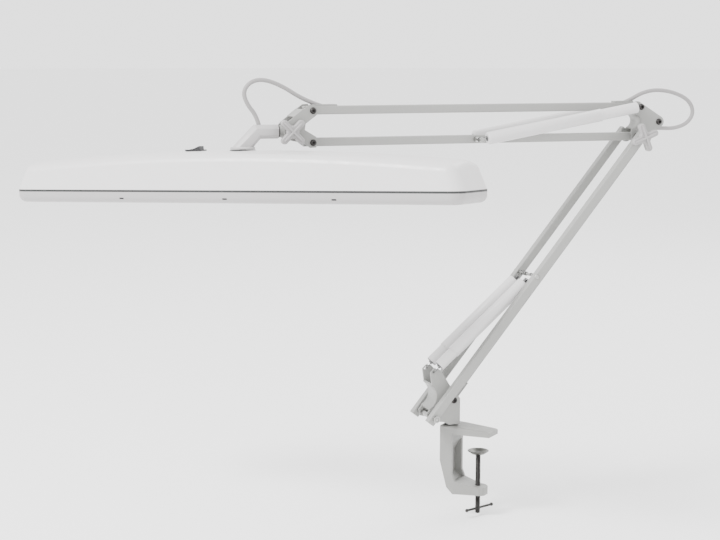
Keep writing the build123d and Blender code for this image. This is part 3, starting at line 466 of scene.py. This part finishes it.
build = bmesh.new()
pivot_bolt(build, ELBOW_2, PLATE_OUT)
pivot_bolt(build, ELBOW_3, HOOK_OUT)
keep(build, "elbow_pivot_bolts", DARK_STEEL, "elbow", ["elbow_bolts"])

build = bmesh.new()
pivot_bolt(build, HEAD_1, PLATE_OUT)
pivot_bolt(build, HEAD_3, PLATE_OUT)
keep(build, "head_bolts", DARK_STEEL, "head_joint", ["head_pivot_bolts"])

build = bmesh.new()
pin_profile = [(1.2, -35.8), (2.1, -35.5), (STUD_R, -34.9), (STUD_R, 34.9), (2.1, 35.5), (1.2, 35.8)]
turned(build, frame_at(ARM_A, OUT), pin_profile, 28)
keep(build, "long_pin", ZINC, "base", ["lower_pivot_pin"])

build = bmesh.new()
for side in (-1, 1):
    place = pin_place(ARM_A, PIN_WASHER * side)
    bore, seat, top, count = 2.55, 0.9, 3.6, 36
    washer(build, place, bore, 4.6, 0, seat)
    flats = hex_radius(NUT_R)
    inner = [ring_of(place, lambda a: bore, z, count) for z in (seat, top)]
    outer = [ring_of(place, lambda a, r=r: min(flats(a), r), z, count)
             for r, z in ((4.05, seat), (NUT_R, 1.2), (NUT_R, 3.2), (4.05, top))]
    rows = skin(build, outer + inner[::-1], cap_low=False, cap_high=False)
    for i in range(count):
        j = (i + 1) % count
        build.faces.new((rows[-1][i], rows[-1][j], rows[0][j], rows[0][i]))
keep(build, "long_pin_nuts", ZINC, "base", ["lower_pivot_nuts"])

build = bmesh.new()
shank(build, frame_at(LOWER_CROSS, OUT), CROSS_R, -LOWER_PIN_HALF, LOWER_PIN_HALF)
for side in (-1, 1):
    place = pin_place(LOWER_CROSS, LOWER_CAP * side)
    turned(build, place, [(2.75, 0), (2.9, 0.2), (2.7, 0.75), (2.1, 1.15), (1.0, 1.36), (0.3, 1.4)], 28)
    washer(build, pin_place(LOWER_CROSS, LOWER_COLLAR * side), CROSS_BORE, 3.2, 0, 1.15)
    washer(build, pin_place(LOWER_CROSS, 0), CROSS_BORE, 2.6, 0, LOWER_SLEEVE)
keep(build, "lower_spring_pin", ZINC, "lower_arm", ["lower_cross_pin"])

build = bmesh.new()
shank(build, frame_at(UPPER_CROSS, OUT), CROSS_R, -UPPER_PIN_HALF, UPPER_PIN_HALF)
for side in (-1, 1):
    lock_nut(build, pin_place(UPPER_CROSS, UPPER_NUT * side), 3.6, 3.0)
    sleeve_at = pin_place(UPPER_CROSS, UPPER_SLEEVE_FROM * side)
    washer(build, sleeve_at, CROSS_BORE, 3.0, 0, UPPER_SLEEVE)
keep(build, "upper_spring_pin", ZINC, "upper_bottom", ["upper_cross_pin"])

build = bmesh.new()
shank(build, frame_at(ELBOW_1, OUT), STUD_R, *ELBOW_STUD_ENDS)
lock_nut(build, pin_place(ELBOW_1, -ELBOW_SEAT), STUD_NUT_R)
keep(build, "elbow_stud", ZINC, "elbow", ["elbow_knob_bolt"])

build = bmesh.new()
shank(build, frame_at(KNUCKLE, OUT), STUD_R, *HEAD_STUD_ENDS)
lock_nut(build, pin_place(KNUCKLE, -HEAD_SEAT), STUD_NUT_R)
for side in (-1, 1):
    washer(build, pin_place(KNUCKLE, HEAD_WASHER * side), 2.5, 5.0, 0, 0.96)
keep(build, "head_stud", ZINC, "head_joint", ["head_knob_bolt"])

# ---------------------------------------------------------------- clamp screw, pad and tommy bar
SCREW_X, SCREW_LOW, SCREW_HIGH = 4.0, -99.0, -25.1
THREAD_PITCH, THREAD_R, THREAD_ROOT, THREAD_END = 1.5, 3.3, 2.62, 2.5
TOMMY_TURN, TOMMY_Z, TOMMY_SHIFT = radians(70), -93, 3
BALL_R, BALL_AT = 2.27, 21.8


def threaded_rod():
    """Clamp screw: a rod wound with one thread, chamfered at both ends, and the rivet at its tip."""
    build = bmesh.new()
    count, step = 24, 0.25
    rings = []
    height = SCREW_LOW
    while height < SCREW_HIGH + 1e-6:
        ring = []
        for i in range(count):
            phase = ((height - SCREW_LOW) / THREAD_PITCH - i / count) % 1.0
            crest = 1 - abs(2 * phase - 1)
            radius = THREAD_ROOT + (THREAD_R - THREAD_ROOT) * min(1, max(0, crest * 1.5 - 0.2))
            ends = min(height - SCREW_LOW, SCREW_HIGH - height)
            radius = min(radius, THREAD_END + ends)
            angle = 2 * pi * i / count
            ring.append(Vector((SCREW_X + cos(angle) * radius, sin(angle) * radius, height)) * MM)
        rings.append(ring)
        height += step
    skin(build, rings)
    tip = frame_at(Vector((SCREW_X, 0, 0)) * MM, UP, (1, 0, 0))
    rivet = [(2.3, -26), (2.3, -23.1), (3.8, -23.1), (3.6, -22.3), (2.6, -21.9), (1.0, -21.85)]
    turned(build, tip, rivet, 28)
    keep(build, "clamp_thread", DARK_STEEL, "screw", ["clamp_screw"], sharp=50)


def dished_pad():
    """Pressed steel disc that the screw's tip carries."""
    build = bmesh.new()
    place = frame_at(Vector((SCREW_X, 0, 0)) * MM, UP, (1, 0, 0))
    profile = [
        (2.7, -23.4), (6.2, -23.4), (7.4, -23.1), (11.0, -20.25), (11.5, -20.0), (12.6, -20.0), (13.0, -20.3),
        (13.0, -20.8), (12.7, -21.1), (8.2, -24.4), (7.2, -24.8), (2.7, -24.8),
    ]
    turned(build, place, profile, 64, hollow=True)
    keep(build, "dished_disc", DISC_STEEL, "pad", ["pressure_pad"], sharp=50)


def tommy():
    """Sliding bar through the screw's foot, with a ball at each end."""
    build = bmesh.new()
    along = Vector((cos(TOMMY_TURN), sin(TOMMY_TURN), 0))
    middle = (Vector((SCREW_X, 0, TOMMY_Z)) + along * TOMMY_SHIFT) * MM
    place = frame_at(middle, along)
    profile = [(0.4, -24.05), (1.4, -23.5)]
    for i in range(1, 12):
        angle = radians(-58 + i * 10)
        profile.append((max(1.5, BALL_R * cos(angle)), -BALL_AT + BALL_R * sin(angle)))
    profile += [(1.5, -19.9)]
    profile += [(radius, -z) for radius, z in profile[::-1]]
    turned(build, place, profile, 24)
    keep(build, "tommy_handle", DARK_STEEL, "tommy", ["tommy_bar"], sharp=50)


threaded_rod()
dished_pad()
tommy()

# ---------------------------------------------------------------- springs and their covers
SMALL_R, LARGE_R, COVER_WALL = 6.7, 7.6, 0.6
COIL_R, WIRE_R, COIL_PITCH, COIL_STEPS = 2.35, 0.55, 1.25, 14
HOOK_FROM, HOOK_SWEEP, HOOK_STEPS = -120, 250, 16
LOWER_SPRING_W, UPPER_SPRING_W, FAR_HOOK_R = 13.8, 22.1, 2.4


def spring_end(name, pin, towards, hook_radius, through_plate, reach_to, body, node):
    """A hook, round a pin or through a plate's hole, then a run of coils along the spring's line."""
    ahead = towards.normalized()
    side = OUT.cross(ahead)
    coil_from = 9.0 if through_plate else 7.0
    points = []
    for i in range(HOOK_STEPS + 1):
        angle = radians(HOOK_FROM + HOOK_SWEEP * i / HOOK_STEPS)
        if through_plate:
            centre = pin + ahead * hook_radius * MM
            points.append(centre + (ahead * -cos(angle) + OUT * sin(angle)) * hook_radius * MM)
        else:
            points.append(pin + (ahead * -cos(angle) + side * sin(angle)) * hook_radius * MM)
    first_side = OUT if through_plate else side
    other_side = side * -1 if through_plate else OUT
    lead = points[-1]
    start = pin + (ahead * coil_from + first_side * COIL_R) * MM
    for i in range(1, 5):
        points.append(lead.lerp(start, i / 5))
    steps = int((reach_to - coil_from) / COIL_PITCH * COIL_STEPS)
    for i in range(steps + 1):
        angle = 2 * pi * i / COIL_STEPS
        along = coil_from + COIL_PITCH * i / COIL_STEPS
        around = first_side * cos(angle) + other_side * sin(angle)
        points.append(pin + (ahead * along + around * COIL_R) * MM)
    build = bmesh.new()
    skin(build, round_path(points, WIRE_R, 7))
    keep(build, name, SPRING_STEEL, body, [node], sharp=60)


def cover_tube(build, start, towards, first, last, radius, capped):
    """Thin round cover with a rolled lip at its mouth and, on the large one, a domed end."""
    place = frame_at(start, towards)
    inner = radius - COVER_WALL
    if capped:
        profile = [
            (inner, first), (radius - 0.2, first), (radius, first + 0.2), (radius, first + 1.4),
            (radius - 0.22, first + 1.7), (radius - 0.22, first + 2.1), (radius, first + 2.4),
            (radius, last - 2.4), (radius - 0.3, last - 1.2), (radius - 1.0, last - 0.4),
            (radius - 2.2, last), (3.5, last), (3.2, last - 0.3), (3.2, last - 1.0),
            (inner - 1.2, last - 1.2), (inner, last - 2.4),
        ]
    else:
        profile = [
            (inner, first + 0.15), (inner + 0.15, first), (radius - 0.2, first), (radius, first + 0.2),
            (radius, last - 0.3), (radius - 0.25, last), (inner, last),
        ]
    turned(build, place, profile, 44, hollow=True)


def spring_set(arm_name, start_name, cross, lateral, reaches, near_hook):
    """Both springs of one arm: covers that slide in each other, and hooked coils at their ends."""
    small_from, small_to, large_from, large_to = reaches
    node = f"{arm_name}_springs"
    small, large = bmesh.new(), bmesh.new()
    for side_name, side in (("front", 1), ("rear", -1)):
        start = on_arm(start_name, lateral * side)
        end = cross + OUT * side * lateral * MM
        towards = end - start
        span = towards.length / MM
        cover_tube(small, start, towards, small_from, small_to, SMALL_R, False)
        cover_tube(large, start, towards, large_from, large_to, LARGE_R, True)
        near = f"{arm_name}_spring_{side_name}_near"
        far = f"{arm_name}_spring_{side_name}_far"
        spring_end(near, start, towards, *near_hook, small_from + 24, f"{arm_name}_small", node)
        far_reach = span - large_to + 16
        spring_end(far, end, towards * -1, FAR_HOOK_R, False, far_reach, f"{arm_name}_large", node)
    keep(small, f"{arm_name}_small_tubes", COVER_PAINT, f"{arm_name}_small",
         [f"{arm_name}_small_covers"])
    keep(large, f"{arm_name}_large_tubes", COVER_PAINT, f"{arm_name}_large",
         [f"{arm_name}_large_covers"])


spring_set("lower", "lower_cover_tilt", LOWER_CROSS, LOWER_SPRING_W, (11, 80, 35, 158), (4.1, True))
spring_set("upper", "upper_cover_tilt", UPPER_CROSS, UPPER_SPRING_W, (5, 96, 54, 206), (3.13, False))

# ---------------------------------------------------------------- clamping knobs
KNOB_ARM, KNOB_HALF, KNOB_HUB, RIB_INSET, KNOB_REACH = 14.0, 4.0, 7.5, 2.6, 22.0
ELBOW_KNOB_AT, ELBOW_KNOB_TURN = 33.3, 22
HEAD_KNOB_AT, HEAD_KNOB_TURN = 16.3, 45


def knob_depth(x, y, hub):
    """How far inside the four-armed outline a point is."""
    def arm(along, across):
        reach = max(0.0, abs(along) - KNOB_ARM)
        return KNOB_HALF - sqrt(reach * reach + across * across)
    return max(arm(x, y), arm(y, x), hub - sqrt(x * x + y * y))


def knob_edge(angle, inset):
    """Distance from the hub to the outline drawn in by inset, found by halving."""
    low, high = 0.0, KNOB_REACH
    hub = KNOB_HUB if inset < RIB_INSET else KNOB_HALF
    for _ in range(24):
        middle = (low + high) / 2
        if knob_depth(cos(angle) * middle, sin(angle) * middle, hub) > inset:
            low = middle
        else:
            high = middle
    return low


def cross_knob(name, centre, w, turn, body, node):
    """Moulded knob with four rounded arms and a raised rib along each."""
    place = frame_at(centre + OUT * w * MM, OUT, REACH) @ Matrix.Rotation(radians(turn), 4, "Z")
    count = 192
    layers = [
        (0.9, 0.0), (0.2, 0.3), (0.0, 0.9), (0.0, 5.2), (0.15, 5.9), (0.6, 6.4), (1.0, 6.5), (2.5, 6.2),
        (2.85, 6.3), (2.9, 8.4), (3.05, 8.7), (3.4, 8.8), (3.75, 8.8),
    ]
    build = bmesh.new()
    skin(build, [ring_of(place, lambda a, i=inset: knob_edge(a, i), z, count) for inset, z in layers])
    keep(build, name, KNOB_PAINT, body, [node], sharp=50)


cross_knob("elbow_cross_knob", ELBOW_1, ELBOW_KNOB_AT, ELBOW_KNOB_TURN, "elbow_knob_body", "elbow_knob")
cross_knob("head_cross_knob", KNUCKLE, HEAD_KNOB_AT, HEAD_KNOB_TURN, "head_knob_body", "head_knob")

# ---------------------------------------------------------------- cable loops
CABLE_R = 2.5
ELBOW_V = (ELBOW_3 - POST).z / MM
LINK_TILT, LINK_RUN, LOOP_EXIT_V = radians(51.2), 22, 368
LOOP_EXIT_U = (ARM_B - POST).dot(REACH) / MM + (LOOP_EXIT_V - ARM_B.z / MM) / tan(LINK_TILT)
elbow_route = [
    (197, ELBOW_V), (212, ELBOW_V), (233, 403.6), (250, 412.8), (271, 416.5), (296, 412.5), (316.5, 402.5),
    (323.5, 387), (314.5, 373.5), (296, 367.6), (277, 368.4), (LOOP_EXIT_U, LOOP_EXIT_V),
    (LOOP_EXIT_U - LINK_RUN * cos(LINK_TILT), LOOP_EXIT_V - LINK_RUN * sin(LINK_TILT)),
]
head_route = [
    (-136, ELBOW_V), (-151, ELBOW_V), (-172, 402.3), (-193, 411), (-215.5, 425), (-237, 432.5),
    (-252.5, 429.5), (-261, 418.5), (-257, 404.5), (-245, 390), (-241.5, 375.5),
]


def cable_loop(name, route, node, parts):
    """One cable cut into stretches, one for each joint it crosses: (end of the stretch, bodies, from, to);
    bodies, from and to are not used.
    """
    line = smooth_line([arm_point(*point) for point in route])
    rings = round_path(line, CABLE_R, 20)
    first = 0
    for number, (stop, bodies, start, end) in enumerate(parts):
        if stop is None:
            last = len(line) - 1
        else:
            target = arm_point(*stop)
            last = min(range(len(line)), key=lambda i: (line[i] - target).length)
        build = bmesh.new()
        skin(build, rings[first:last + 1])
        piece = keep(build, f"{name}_{number}", CABLE, None, [node], sharp=60)
        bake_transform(piece)
        first = last


cable_loop("elbow_loop", elbow_route, "elbow_cable_loop", [
    ((323.5, 387), ("upper_top", "elbow"), (236, 400), (318, 400)),
    (None, ("lower_link", "elbow"), (263, 375), (318, 375)),
])
cable_loop("head_loop", head_route, "head_cable_loop", [
    ((-193, 411), ("upper_top", "head_joint"), (-150, 400), (-190, 400)),
    ((-252.5, 429.5), ("head_joint", "tilt"), (-196, 425), (-248, 425)),
    (None, ("tilt", "neck_body"), (-250, 427), (-250, 388)),
])

# ---------------------------------------------------------------- seam of the lamp head
SEAM_LOW, SEAM_HIGH, SEAM_PROUD = -2.15, 0.35, 0.12
HEAD_LONG_HALF, HEAD_WIDE_HALF, HEAD_CORNER = 286.0, 47.0, 15.0
CREST_Z = 45.0
CORNER_STEPS, CORNER_STEP = 12, 7.5
SEAM_DEPTH, SEAM_EASE = 4.0, 0.1


def oblong_ring(inset, z):
    """Points round the head's oblong outline, drawn in by inset."""
    radius = HEAD_CORNER - inset
    points = []
    corners = ((1, 1, 0), (-1, 1, 90), (-1, -1, 180), (1, -1, 270))
    for x_side, y_side, first in corners:
        for i in range(CORNER_STEPS + 1):
            angle = radians(first + i * CORNER_STEP)
            x = x_side * (HEAD_LONG_HALF - HEAD_CORNER) + cos(angle) * radius
            y = y_side * (HEAD_WIDE_HALF - HEAD_CORNER) + sin(angle) * radius
            points.append(head_point(x, y, z - CREST_Z))
    return points


def seam_bead():
    """Rubber bead between the shade and the trim, a hair proud of both."""
    build = bmesh.new()
    eased = -SEAM_PROUD + SEAM_EASE
    rows = [(SEAM_DEPTH, SEAM_LOW), (eased, SEAM_LOW), (-SEAM_PROUD, SEAM_LOW + SEAM_EASE),
            (-SEAM_PROUD, SEAM_HIGH - SEAM_EASE), (eased, SEAM_HIGH), (SEAM_DEPTH, SEAM_HIGH)]
    rings = skin(build, [oblong_ring(inset, z) for inset, z in rows], cap_low=False, cap_high=False)
    count = len(rings[0])
    for i in range(count):
        j = (i + 1) % count
        build.faces.new((rings[-1][i], rings[-1][j], rings[0][j], rings[0][i]))
    keep(build, "seam_bead", RUBBER, "head", ["seam_gasket"], sharp=40)


seam_bead()

# ---------------------------------------------------------------- neck casting
NECK_FROM_U, NECK_BEND_U, NECK_BEND = -220.42, -245, radians(203)
NECK_INTO_CREST = 3.5


def neck_ring(place, width, height, cut):
    """Eight-sided section of the casting."""
    corners = [
        (width / 2, height / 2 - cut), (width / 2 - cut, height / 2), (cut - width / 2, height / 2),
        (-width / 2, height / 2 - cut), (-width / 2, cut - height / 2), (cut - width / 2, -height / 2),
        (width / 2 - cut, -height / 2), (width / 2, cut - height / 2),
    ]
    return [place @ (Vector((x, y, 0)) * MM) for x, y in corners]


def neck_casting():
    """Casting from the head joint to the lamp head's crest, with the round flange that it turns on."""
    build = bmesh.new()
    level_v = KNUCKLE.z / MM
    bend_dir = REACH * cos(NECK_BEND) + UP * sin(NECK_BEND)
    skin(build, [
        neck_ring(frame_at(arm_point(NECK_FROM_U, level_v), REACH * -1, OUT), 16, 16, 4.5),
        neck_ring(frame_at(arm_point(NECK_BEND_U, level_v), bend_dir, OUT), 16, 17.5, 4.5),
        neck_ring(frame_at(CREST + HEAD_UP * NECK_INTO_CREST * MM, HEAD_UP * -1, OUT), 20, 23, 5),
    ])
    flange = [(13.9, 0.8), (14.4, 1.1), (14.4, 3.1), (14.1, 3.7), (13.5, 4.0)]
    turned(build, frame_at(CREST, HEAD_UP), flange, 56)
    piece = keep(build, "neck_casting", NECK_PAINT, "neck_body", ["neck"], sharp=60)
    edge = piece.modifiers.new("edge", "BEVEL")
    edge.width = 0.9 * MM
    edge.segments = 3
    edge.limit_method = "ANGLE"
    edge.angle_limit = radians(20)


neck_casting()

# ---------------------------------------------------------------- softened plates and castings
soften(["base_bracket", "elbow_bracket", "head_bracket"], 0.35)
soften(["clamp_frame"], 1.0, 3)
soften(["tilt_block"], 0.6, 3)
soften(["switch_body", "switch_rocker", "latch_tabs", "upper_cable_clips", "lower_cable_clip"], 0.15)
soften(["base_spacers", "elbow_spacers", "head_spacers"], 0.2)
soften(["swivel_post", "swivel_bush", "serrated_washer"], 0.2)
soften(["lower_tube_plugs", "upper_tube_plugs", "upper_top_plugs"], 0.25)

# ---------------------------------------------------------------- floor, light and camera
FLOOR_GAP, FLOOR_R, SKY = 0.004, 40, 2.4
CAMERA_AT, AZIMUTH, PITCH = Vector((0.792, -1.815, 0.471)), radians(118), radians(8.51)
floor_z = cad_box[0][2] - FLOOR_GAP


def stage_floor():
    mesh = bpy.data.meshes.new("studio_floor")
    build = bmesh.new()
    bmesh.ops.create_circle(build, cap_ends=True, radius=FLOOR_R, segments=96)
    build.to_mesh(mesh)
    build.free()
    floor_piece = bpy.data.objects.new("studio_floor", mesh)
    floor_piece.location = (0, 0, floor_z)
    bpy.context.scene.collection.objects.link(floor_piece)
    mesh.materials.append(material("floor_white", (0.93, 0.93, 0.93), 0.7, shade_var=0.004, grain=40))


def soft_light(name, place, target, size, power):
    """Area light of a size in metres and a power in watts, aimed at a target."""
    lamp = bpy.data.lights.new(name, "AREA")
    lamp.shape = "RECTANGLE"
    lamp.size = size[0]
    lamp.size_y = size[1]
    lamp.energy = power
    holder = bpy.data.objects.new(name, lamp)
    holder.matrix_world = frame_at(place, Vector(place) - Vector(target))
    bpy.context.scene.collection.objects.link(holder)


def add_camera():
    """The photograph's viewing angle: azimuth 118 degrees, 8.5 degrees down, a long lens."""
    view = bpy.data.cameras.new("view")
    view.lens = 82.5
    view.sensor_width = 36
    view.clip_start = 0.05
    view.clip_end = 200
    view.shift_x = 0.0129
    view.shift_y = 0.0307
    ahead = Vector((cos(AZIMUTH) * cos(PITCH), sin(AZIMUTH) * cos(PITCH), -sin(PITCH)))
    holder = bpy.data.objects.new("view", view)
    holder.matrix_world = frame_at(CAMERA_AT, ahead * -1, ahead.cross(UP))
    bpy.context.scene.collection.objects.link(holder)
    bpy.context.scene.camera = holder


stage_floor()
world = bpy.data.worlds.new("studio")
world.use_nodes = True
world.node_tree.nodes["Background"].inputs["Color"].default_value = (1, 1, 1, 1)
world.node_tree.nodes["Background"].inputs["Strength"].default_value = SKY
bpy.context.scene.world = world
soft_light("key", (-1.2, -2.2, 2.6), (0, 0, 0.25), (0.9, 0.9), 165)
soft_light("fill", (2.6, -1.2, 1.4), (0, 0, 0.2), (1.4, 1.4), 12)
soft_light("back", (0.4, 2.2, 2.0), (0, 0, 0.3), (1.5, 1.5), 30)
add_camera()
